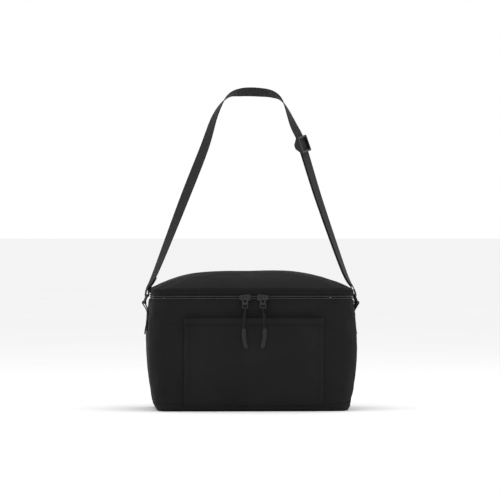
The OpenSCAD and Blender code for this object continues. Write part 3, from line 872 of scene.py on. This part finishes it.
def zip_tape(level, body):
    node = f"zip_tape_{level}"
    low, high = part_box(node)
    where = around_front(0.004)
    grid = np.array([course(where, z, 0.0013) for z in np.linspace(low.z, high.z, 6)])
    obj = lattice(f"tape_{level}", grid)
    points = grid.reshape(-1, 3)
    push(obj, points, -np.abs(ripple(points, 0.012, 0.0002, 14)))
    thicken(obj, 0.0008)
    place(obj, body, tape_cloth, "zip_tape", node)


def zip_coil(level, body):
    """A row of nylon coil: every turn is a bulge, and the turns lean a little."""
    node = f"zip_coil_{level}"
    low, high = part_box(node)
    middle = (low.z + high.z) / 2
    middle += COIL_REACH * (1 if middle < ZIP_Z else -1)
    path = resample(course(around_front(0.002), middle, 0.00065), COIL_PITCH / 5)
    turn = 2 * math.pi / 5 * np.arange(len(path))
    tall = COIL_H / 2 + COIL_REACH
    section = oval(tall, 0.00055, 8)
    lean = 0.9 * section[:, 0] / tall
    swell = 0.86 + 0.14 * np.cos(turn[:, None] + lean[None, :])
    obj = bar(f"coil_{level}", path, section[None] * swell[:, :, None], UP)
    place(obj, body, coil_nylon, "zip_coil", node)


def hard_parts():
    for side in ("left", "right"):
        slider, tab, ring = f"slider_{side}", f"pull_tab_{side}", f"ring_{side}"
        tab_body = f"tab_{side}_body"
        cad_copy(slider, f"zip_{slider}", 0.00035, f"{slider}_body", enamel, "slider_metal")
        cad_copy(tab, f"zip_pull_{side}", 0.0003, tab_body, enamel, "slider_metal")
        cad_copy(ring, f"strap_{ring}", 0.0002, "body", enamel, "hardware")
    cad_copy("adjuster", "tri_glide", 0.0006, "adjuster_body", hardware, "hardware")


def pull_cord(side_name, side):
    """A braided cord doubled over the pull tab's foot bar; both ends are moulded into the grip."""
    node = f"pull_cord_{side_name}"
    tab_low, tab_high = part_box(f"pull_tab_{side_name}")
    grip_low, grip_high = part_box(f"pull_grip_{side_name}")
    middle = (tab_low.x + tab_high.x) / 2
    bar_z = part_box(node)[1].z - LOOP_R - CORD_R
    # The tab's foot bar is its frontmost part
    bar_y = tab_low.y + 0.0008
    grip_y = (grip_low.y + grip_high.y) / 2
    top = grip_high.z
    out = side * GRIP_ASIDE
    front = [
        (out - LEG_OFF, grip_y, top - LEG_SUNK),
        (out - LEG_OFF, grip_y, top + 0.003),
        (out * 0.8 - 0.001, grip_y, bar_z - 0.015),
        (out / 2 - 0.0008, mix(grip_y, bar_y, 0.55), bar_z - 0.009),
        (-0.0003, bar_y - LOOP_R - 0.0001, bar_z - 0.0045),
    ]
    over = [(0, bar_y - LOOP_R * math.cos(a), bar_z + LOOP_R * math.sin(a))
            for a in np.radians((0, 30, 60, 90, 120, 150, 180))]
    back = [
        (0.0003, bar_y + LOOP_R - 0.0003, bar_z - 0.0045),
        (out / 2 + 0.001, mix(grip_y, bar_y, 0.7), bar_z - 0.009),
        (out * 0.8 + LEG_OFF, grip_y, bar_z - 0.015),
        (out + LEG_OFF, grip_y, top + 0.003),
        (out + LEG_OFF, grip_y, top - LEG_SUNK),
    ]
    path = curve_through(np.array(front + over + back) + (middle, 0, 0), 8)
    path = resample(path, PLAIT_STEP)
    turn = 2 * math.pi * PLAIT_STEP / PLAIT_PITCH * np.arange(len(path))[:, None]
    angles = 3 * np.linspace(0, 2 * math.pi, 12, endpoint=False)
    plait = np.cos(angles + turn) * np.cos(angles - turn)
    profile = oval(CORD_R, CORD_R, 12)[None] * (0.95 + 0.07 * plait)[:, :, None]
    obj = bar(f"cord_{side_name}", path, profile)
    place(obj, f"pull_{side_name}", cord_braid, "pull_cord", node)


def pull_grip(side_name, side):
    """A moulded grip, oval in section, with ribs round its middle and a lip at each end."""
    node = f"pull_grip_{side_name}"
    low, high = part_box(node)
    tab_low, tab_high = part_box(f"pull_tab_{side_name}")
    slider_x = abs(tab_low.x + tab_high.x) / 2
    f = np.linspace(0, 1, 73)
    x = side * (slider_x + GRIP_ASIDE + 0.0006 * np.sin(math.pi * f) - 0.0034 * f * f)
    depth = np.full(len(f), (low.y + high.y) / 2)
    path = np.stack([x, depth, high.z - (high.z - low.z) * f], 1)
    ends = np.sqrt(np.clip(1 - np.abs(2 * f - 1) ** 10, 0.12, 1))
    ribbed = smooth((f - 0.16) / 0.04) * smooth((0.86 - f) / 0.04)
    ribs = 1 - 0.075 * ribbed * (0.5 - 0.5 * np.cos(2 * math.pi * f * GRIP_RIBS))
    profile = oval(0.0032, 0.002, 20, 2.4)[None] * (ends * ribs)[:, None, None]
    obj = bar(f"grip_{side_name}", path, profile)
    place(obj, f"pull_{side_name}", grip_rubber, "grip", node)


# ---- Pocket ----

HEM_H = 0.0095
# How far the pocket stands off the front at its fullest and at its edges, and the width of the
# strip where its edges turn in
POCKET_EASE = 0.005
POCKET_OFF = 0.0026
POCKET_TURN = 0.006
pocket_half = pocket_high.x
pocket_foot = pocket_low.z
pocket_top = pocket_high.z


def pocket_rise(x, z):
    """How far the pocket stands off the front."""
    full = 1 - np.abs(x / pocket_half) ** 4
    return POCKET_EASE * full * smooth((z - pocket_foot) / 0.04)


def pocket_surface(x, z, out):
    """The pocket's cloth, off the bag's nominal front, slightly rumpled, at out from its inside."""
    half_d = np.array([half_sizes(h)[1] for h in np.ravel(z)]).reshape(np.shape(z))
    waves = np.sin(math.pi * (x / pocket_half + 1) * 1.5 + 0.6)
    sag = 0.0006 * waves * smooth((z - pocket_foot) / 0.05)
    free = 1 - np.abs(x / pocket_half) ** 6
    points = np.stack([x, np.zeros_like(x), z], -1).reshape(-1, 3)
    rumple = ripple(points, 0.04, 0.0009, 21, 0.8).reshape(np.shape(x)) * free
    y = -half_d - POCKET_OFF - pocket_rise(x, z) - sag - rumple - out
    edge = smooth((np.abs(x) - pocket_half + POCKET_TURN) / POCKET_TURN)
    foot = smooth((pocket_foot + POCKET_TURN - z) / POCKET_TURN)
    return np.stack([x, y + 0.0020 * np.maximum(edge, foot), z], -1)


def pocket():
    xs = np.linspace(-pocket_half, pocket_half, 66)
    zs = np.linspace(pocket_foot, pocket_top - 0.0006, 42)
    panel = lattice("pocket_cloth", pocket_surface(*np.meshgrid(xs, zs), CLOTH_T))
    thicken(panel, CLOTH_T)
    place(panel, "body", outer_cloth, "outer_cloth", "pocket_panel")
    mouth = np.linspace(-pocket_half + 0.0003, pocket_half - 0.0003, 80)
    path = pocket_surface(mouth, np.full(80, pocket_top - HEM_H / 2), CLOTH_T - 0.0001)
    up = unit(pocket_surface(mouth, np.full(80, pocket_top), CLOTH_T) - path)
    out = unit(np.cross(unit(np.gradient(path, axis=0)), up))
    hem = sweep("pocket_hem", path, up, out, oval(HEM_H / 2, 0.0011, 24, 5.0))
    points = vertex_values(hem, "co")
    push(hem, points, ripple(points, 0.008, 0.0002, 22, 0.2))
    place(hem, "body", outer_cloth, "outer_cloth")
    lines = []
    x = np.linspace(-pocket_half + 0.002, pocket_half - 0.002, 200)
    for drop in (0.0012, HEM_H - 0.0012):
        row = pocket_surface(x, np.full(200, pocket_top - drop), 0.0022)
        lines.append(stitch_run(row, FORWARD, 0.0))
    z = np.linspace(pocket_foot + 0.002, pocket_top - 0.001, 120)
    for side in (-1, 1):
        for inset in (0.0015, 0.007):
            row = pocket_surface(np.full(120, side * (pocket_half - inset)), z, CLOTH_T)
            row[:, 1] -= np.where(z > pocket_top - HEM_H, 0.0010, 0.0)
            lines.append(stitch_run(row, FORWARD, 0.0))
    stitches("stitch_pocket", lines, "body")


# ---- Lid ----

DOME_FULLNESS = 3.4


def rim_point(a, b, half_w, half_d, r):
    """Maps the edge of a square onto a rounded rectangle, by length along each side."""
    arc = r * math.pi / 4
    upright = np.abs(a) >= np.abs(b)
    lead = np.where(upright, a, b)
    share = np.where(upright, b, a) / np.maximum(np.abs(lead), 1e-9)
    near = np.where(upright, half_d, half_w) - r
    reach = np.abs(share) * (near + arc)
    turn = np.clip((reach - near) / r, 0, math.pi / 4)
    side = np.sign(share) * np.where(reach > near, near + r * np.sin(turn), reach)
    far = np.sign(lead) * (np.where(upright, half_w, half_d) - r + r * np.cos(turn))
    return np.where(upright, far, side), np.where(upright, side, far)


def dome_rise(a, b):
    """Rise of the lid over its seam: full and soft, flatter in the middle than a plain arch."""
    s = np.maximum(np.abs(a), np.abs(b))
    soft = (1 - np.abs(a) ** DOME_FULLNESS) * (1 - np.abs(b) ** DOME_FULLNESS)
    return DOME_H * mix(1 - s**DOME_FULLNESS, soft, 0.5)


def dome_grid(inset, across, deep, foot=0.0):
    """Points on the dome; for each its share of the way out, and how far off a corner's fold."""
    a, b = np.meshgrid(np.linspace(-1, 1, across), np.linspace(-1, 1, deep))
    s = np.maximum(np.abs(a), np.abs(b))
    x, y = rim_point(a, b, HALF_W - inset, HALF_D - inset, CORNER_R - inset)
    z = np.maximum(SEAM_Z + dome_rise(a, b) - inset, foot)
    off_fold = np.abs(np.abs(a) - np.abs(b))
    return np.stack([x * s, y * s, z], -1), s.reshape(-1, 1), off_fold.reshape(-1, 1)


def lid_cover():
    """The lid's padded top: sewn round its edge, filled by the foam and darted at its corners."""
    grid, s, off_fold = dome_grid(0.0, 68, 44)
    obj = lattice("lid_cover", grid)
    rim = np.flatnonzero(s > 0.999)
    points = settle(obj, rim, pressure=1.1, slack=0.01, most_out=0.0006, most_in=0.0003)
    held = smooth((1 - s) / 0.06)
    dents = ripple(points, 0.06, 0.0011, 31)
    slack = ripple(points, 0.022, 0.0003, 32, 2)
    puckers = ripple(points, 0.010, 0.0006, 33) * smooth((s - 0.72) / 0.28)
    dart = np.exp(-((off_fold / 0.035) ** 2)) * smooth((s - 0.78) / 0.2) * 0.0016
    puff = np.exp(-(((off_fold - 0.09) / 0.05) ** 2)) * smooth((s - 0.74) / 0.2) * 0.0009
    push(obj, points, held * (dents + slack + puckers - dart + puff))
    thicken(obj, CLOTH_T)
    place(obj, "lid", outer_cloth, "outer_cloth", "lid_top")
    return Surface(obj, *grid.shape[:2])


def lid_side():
    """The band between the zip and the lid's seam, slightly rolled by its seams."""
    where = full_loop(0.004)
    levels = np.linspace(band_low.z, band_high.z, 7)
    roll = 0.0007 * np.sin(np.linspace(0, math.pi, 7)) - 0.0002
    grid = np.array([course(where, z, -swell) for z, swell in zip(levels, roll)])
    obj = lattice("lid_side", grid, wrap=True)
    points = grid.reshape(-1, 3)
    push(obj, points, ripple(points, 0.009, 0.0003, 34, 0.3))
    thicken(obj, CLOTH_T)
    place(obj, "lid", outer_cloth, "outer_cloth", "lid_band")


def lid_seam():
    """The lid's seam allowance makes a thin raised edge between the band and the top."""
    path = course(full_loop(0.003), SEAM_Z - 0.0002, 0.0004)
    obj = bar("lid_seam", path, oval(0.0006, 0.0009, 8), UP, closed=True)
    place(obj, "lid", outer_cloth, "outer_cloth")


def lid_board():
    grid = dome_grid(FOAM_IN + DENT_ROOM, 40, 26, SEAM_Z - 0.0012)[0]
    obj = lattice("lid_board", grid)
    thicken(obj, LID_FOAM_T - DENT_ROOM)
    round_edges(obj, FOAM_EDGE)
    place(obj, "lid", foam, "foam", "foam_lid")


def lid_lining():
    grid, s, _ = dome_grid(LID_LINER_IN, 60, 38, SEAM_Z - 0.0014)
    obj = lattice("lid_lining", grid)
    points = grid.reshape(-1, 3)
    push(obj, points, -smooth((1 - s) / 0.1) * film_folds(points, 0.0010, 35))
    thicken(obj, LINER_T)
    place(obj, "lid", liner, "liner", "liner_lid")


def hinge():
    """The cloth strip across the back that the lid folds on."""
    xs = np.linspace(hinge_low.x, hinge_high.x, 90)
    zs = np.linspace(hinge_low.z, hinge_high.z, 21)
    x, z = np.meshgrid(xs[::-1], zs)
    points = np.stack([x, np.full_like(x, hinge_high.y), z], -1)
    flat = points.reshape(-1, 3)
    rise = np.abs(flat[:, 2:] - ZIP_Z) / (hinge_high.z - ZIP_Z)
    rib = 0.0006 * np.exp(-(((rise - 0.55) / 0.2) ** 2))
    flat = flat + (0, 1, 0) * (rib + ripple(flat, 0.012, 0.0004, 40, 0.5))
    obj = lattice("hinge_cloth", flat.reshape(points.shape))
    thicken(obj, hinge_high.y - hinge_low.y)
    place(obj, None, outer_cloth, "outer_cloth", "hinge_strip")
    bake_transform(obj)
    for name, body, level in (("low", "body", 0.0022), ("high", "lid", 0.0178)):
        ys, levels = np.full(90, hinge_high.y + 0.0003), np.full(90, hinge_low.z + level)
        row = np.stack([xs, ys, levels], 1)
        stitches(f"stitch_hinge_{name}", [stitch_run(row, (0, 1, 0))], body)


# ---- Side tabs, rings and the shoulder strap ----

RING_PITCH = 0.0116
RING_LEAN = math.radians(20)
WRAP_R = 0.0024
UPPER_BAR = np.array([HALF_W + 0.0055, ZIP_Z + 0.002])
LOWER_BAR = UPPER_BAR + RING_PITCH * np.array([math.sin(RING_LEAN), -math.cos(RING_LEAN)])
STRAP_RISE = 0.291
# Knots of the strap's middle line: share of the half width, share of the rise, twist in degrees
STRAP_ROUTE = [
    (-1, 0, 0), (-0.985, 0.035, 4), (-0.9, 0.125, 15), (-0.637, 0.467, 28), (-0.445, 0.715, 27),
    (-0.336, 0.877, 14), (-0.222, 0.966, -6), (-0.09, 0.989, -25), (0.09, 0.989, -27),
    (0.22, 0.977, -18), (0.312, 0.94, 3), (0.41, 0.83, 25), (0.495, 0.735, 27),
    (0.66, 0.467, 23), (0.896, 0.125, 15), (0.985, 0.035, 4), (1, 0, 0),
]
ROUTE_STEPS = 20
# Places along the route, by knot: where the left end's stitches end, the right end's loose ply
# ends, and the tri-glide sits
SEWN_U = 1.8
STUB_U = 13.6
ADJUSTER_U = 12.06
PLY_OFF = WEB_T / 2 + 0.00008
EYE_LEN = 0.016
# Half the width of the boxes of stitches on the webbing
BOX_HALF = 0.0095
SWING_ENDS = ((0, 0, 0.160), (0, 0, 0.215))


def webbing_profile(wide=WEB_W):
    """A flat woven section with a slightly raised selvedge along each edge."""
    half, thin = wide / 2, WEB_T / 2
    across = half * np.array([-0.975, -0.945, -0.89, -0.45, 0, 0.45, 0.89, 0.945, 0.975])
    rise = thin * np.array([0.7, 1.0, 0.84, 0.9, 0.92, 0.9, 0.84, 1.0, 0.7])
    under = np.stack([across, -rise], 1)
    over = np.stack([across[::-1], rise[::-1]], 1)
    return np.vstack([under, [(half, 0)], over, [(-half, 0)]])


def side_tab(side_name, side):
    """A loop of webbing that holds the ring; both plies are sewn to the bag's side."""
    sewn_low, sewn_high = ZIP_Z - 0.038, ZIP_Z - 0.023

    def ply(z, n):
        return (half_sizes(z)[0] + 0.0003 + WEB_T / 2 + n * (WEB_T + 0.0002), z)

    loop = [LOWER_BAR + WRAP_R * np.array((math.cos(a), math.sin(a)))
            for a in np.radians(np.arange(-20, 221, 20))]
    foot_x = half_sizes(TAB_FOOT_Z)[0]
    route = [(foot_x + 0.0046, TAB_FOOT_Z), (foot_x + 0.0032, TAB_FOOT_Z + 0.009)]
    route += [ply(sewn_low, 1), ply(sewn_high, 1), *loop, ply(sewn_high, 0), ply(sewn_low, 0)]
    route += [(foot_x + 0.0012, TAB_FOOT_Z + 0.004)]
    line = resample(curve_through(route, 6), 0.0012)
    path = np.stack([side * line[:, 0], np.zeros(len(line)), line[:, 1]], 1)
    obj = bar(f"tab_web_{side_name}", path, webbing_profile(), (0, 1, 0))
    place(obj, "body", webbing, "webbing", f"tab_{side_name}")
    ends = [(side * (ply(z, 1)[0] + WEB_T / 2), z) for z in (sewn_low - 0.004, sewn_high + 0.001)]
    corners = [(-1, 0), (1, 0), (1, 1), (-1, 1)]
    at = [np.array((ends[k][0], sign * BOX_HALF, ends[k][1])) for sign, k in corners]
    joins = [(0, 1), (1, 2), (2, 3), (3, 0), (0, 2), (1, 3)]
    lines = [stitch_run(np.linspace(at[a], at[b], 20), (side, 0, 0), 0.0) for a, b in joins]
    stitches(f"stitch_tab_{side_name}", lines, "body")


def strap_stations():
    """Along the strap: middle, across and through directions, and the half gap between plies."""
    knots = curve_through(STRAP_ROUTE, ROUTE_STEPS)
    middle = np.stack([knots[:, 0] * UPPER_BAR[0], np.zeros(len(knots)),
                       UPPER_BAR[1] + knots[:, 1] * STRAP_RISE], 1)
    way = unit(np.gradient(middle, axis=0))
    twist = np.radians(knots[:, 2])[:, None]
    inward = np.stack([way[:, 2], np.zeros(len(way)), -way[:, 0]], 1)
    ahead = np.array((0, 1.0, 0))
    across = np.cos(twist) * ahead - np.sin(twist) * inward
    through = np.cos(twist) * inward + np.sin(twist) * ahead
    near = np.minimum(np.linalg.norm(middle - middle[0], axis=1),
                      np.linalg.norm(middle - middle[-1], axis=1))
    off = PLY_OFF + (WRAP_R - PLY_OFF) * np.maximum(0, 1 - near / EYE_LEN)
    return middle, way, across, through, off[:, None], inward


def eye(middle, up, inward, angles):
    """Half a turn of webbing round a ring's upper bar."""
    turn = np.radians(angles)[:, None]
    r = np.cos(turn) * inward - np.sin(turn) * up
    return middle + WRAP_R * r, np.tile((0, 1.0, 0), (len(r), 1)), -r


def strap(stations):
    middle, way, across, through, off, inward = stations
    last = len(middle) - 1

    def far_ply(first, final):
        """The ply behind the strap's main one, from one station down to another."""
        part = np.arange(first, final - 1, -1)
        return middle[part] + (off * through)[part], across[part], -through[part]

    stub = round(STUB_U * ROUTE_STEPS)
    parts = [
        far_ply(round(SEWN_U * ROUTE_STEPS), 0),
        eye(middle[0], way[0], inward[0], np.arange(15, 180, 15)),
        (middle - off * through, across, through),
        eye(middle[-1], -way[-1], inward[-1], np.arange(165, 0, -15)),
        far_ply(last, stub),
    ]
    path, wide, out = (np.vstack([part[k] for part in parts]) for k in range(3))
    obj = sweep("strap_web", path, wide, out, webbing_profile())
    place(obj, None, webbing, "webbing", "strap_webbing")
    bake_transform(obj)
    path, wide, out = far_ply(stub, round(ADJUSTER_U * ROUTE_STEPS))
    turned = sweep("strap_web_return", path, wide, out, webbing_profile())
    place(turned, None, webbing, "webbing", "strap_return")
    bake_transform(turned)


def strap_stitches(stations):
    """A box of stitches where the strap's left end is turned back and sewn."""
    middle, way, across, through, off, inward = stations
    face = middle - (off + WEB_T / 2 * 0.9) * through
    first, last = round(1.0 * ROUTE_STEPS), round(1.7 * ROUTE_STEPS)
    span = slice(first, last + 1)
    spread = np.linspace(-BOX_HALF, BOX_HALF, last - first + 1)[:, None]
    lines = []
    for y in (-BOX_HALF, BOX_HALF, -spread, spread):
        lines.append(stitch_run(face[span] + y * across[span], -through[span], 0.0))
    for k in (first, last):
        row = face[k] + np.linspace(-BOX_HALF, BOX_HALF, 12)[:, None] * across[k]
        lines.append(stitch_run(row, -through[k], 0.0))
    stitches("stitch_strap", lines, None, "webbing", ("body", "strap", *SWING_ENDS))


# ---- Topstitching ----

# Columns or rows of the lid's grid from its edge to its stitches
LID_STITCH_IN = 0.62


def wall_row(surface, z, cols):
    row = (z - wall_heights[0]) / (wall_heights[1] - wall_heights[0])
    return surface.at(np.full(len(cols), row), cols)


def cover_stitches(body, back, lid):
    """Rows of thread above the base seam, below the zip, round the lid's band and on its top."""
    around = np.linspace(0, len(AROUND) - 1, 4 * len(AROUND))
    behind = np.linspace(0, len(BACK) - 1, 4 * len(BACK))
    low, high = BASE_SEAM_Z + 0.0045, wrap_high.z - 0.0022
    rows = [(body, low, around), (body, high, around), (back, low, behind)]
    stitches("stitch_body", [stitch_run(*wall_row(*row)) for row in rows], "body")
    where = full_loop(0.002)
    lines = []
    for z in (band_low.z + 0.0016, band_high.z - 0.0016):
        path = course(where, z, -0.0004)
        path = np.vstack([path, path[:1]])
        lines.append(stitch_run(path, np.cross(unit(np.gradient(path, axis=0)), UP)))
    rows, cols = lid.grid.shape[:2]
    first, last_row, last_col = LID_STITCH_IN, rows - 1 - LID_STITCH_IN, cols - 1 - LID_STITCH_IN
    down = np.linspace(first, last_row, 300)
    across = np.linspace(first, last_col, 400)
    for row, col in ((first, across), (down, last_col), (last_row, across), (down, first)):
        lines.append(stitch_run(*lid.at(row, col)))
    stitches("stitch_lid", lines, "lid")


# ---- Stage, light and camera ----

FLOOR_HALF = 40.0


def stage():
    corners = [(x * FLOOR_HALF, y * FLOOR_HALF, 0) for x, y in ((-1, -1), (1, -1), (1, 1), (-1, 1))]
    floor = add_object("floor", corners, [[0, 1, 2, 3]])
    floor.data.materials.append(floor_looks())
    floor.location.z = -0.0002


def area_light(name, spot, target, size, power):
    data = bpy.data.lights.new(name, "AREA")
    data.shape = "RECTANGLE"
    data.size, data.size_y = size
    data.energy = power
    light = bpy.data.objects.new(name, data)
    light.location = spot
    light.rotation_euler = (Vector(target) - Vector(spot)).to_track_quat("-Z", "Y").to_euler()
    scene.collection.objects.link(light)


def studio():
    world = bpy.data.worlds.new("studio")
    world.use_nodes = True
    sky = world.node_tree.nodes["Background"].inputs
    sky["Color"].default_value = (1, 1, 1, 1)
    sky["Strength"].default_value = 1.0
    scene.world = world
    scene.view_settings.view_transform = "Standard"
    area_light("overhead", (0.1, -0.35, 1.9), (0, 0, 0.1), (1.8, 1.4), 9)
    area_light("left_side", (-1.7, -0.9, 0.7), (0, 0, 0.12), (0.7, 1.3), 5)
    area_light("right_side", (1.8, -0.5, 0.7), (0, 0, 0.12), (0.6, 1.3), 5)


VIEW_AZIMUTH = math.radians(-3.0)
VIEW_DOWN = math.radians(0.5)
VIEW_FIELD = math.radians(6.79)
CAMERA_BACK = 6.0
CAMERA_ASIDE = -0.0008
CAMERA_HEIGHT = 0.226 + CAMERA_BACK * math.tan(VIEW_DOWN)


def camera():
    data = bpy.data.cameras.new("view")
    data.lens_unit = "FOV"
    data.angle = VIEW_FIELD
    data.clip_end = 50
    eye_obj = bpy.data.objects.new("view", data)
    sin, cos = math.sin(VIEW_AZIMUTH), math.cos(VIEW_AZIMUTH)
    eye_obj.location = (CAMERA_BACK * sin + CAMERA_ASIDE * cos,
                        CAMERA_ASIDE * sin - CAMERA_BACK * cos, CAMERA_HEIGHT)
    eye_obj.rotation_euler = (math.pi / 2 - VIEW_DOWN, 0, VIEW_AZIMUTH)
    scene.collection.objects.link(eye_obj)
    scene.camera = eye_obj


# ---- The whole bag ----

camera()
studio()
stage()

body_surface = cloth_panel("body_cover", "body_wrap", AROUND, 0.0010)
back_surface = cloth_panel("back_cover", "back_panel", BACK, 0.0012)
base_cover()
base_middle_patch()
base_piping()
for name, run in (
    ("front", FRONT_RUN), ("back", BACK_RUN), ("left", LEFT_RUN), ("right", RIGHT_RUN),
):
    foam_board(name, run)
base_board()
tub_liner()
welded_seams()
bound_rim("rim_bound", "rim_binding", "body")
bound_rim("lid_bound", "lid_binding", "lid")
for level, body in (("lower", "body"), ("upper", "lid")):
    zip_tape(level, body)
    zip_coil(level, body)
hard_parts()
for name, sign in (("left", -1), ("right", 1)):
    pull_cord(name, sign)
    pull_grip(name, sign)
    side_tab(name, sign)
pocket()
lid_surface = lid_cover()
lid_side()
lid_seam()
lid_board()
lid_lining()
hinge()
strap_line = strap_stations()
strap(strap_line)
strap_stitches(strap_line)
cover_stitches(body_surface, back_surface, lid_surface)
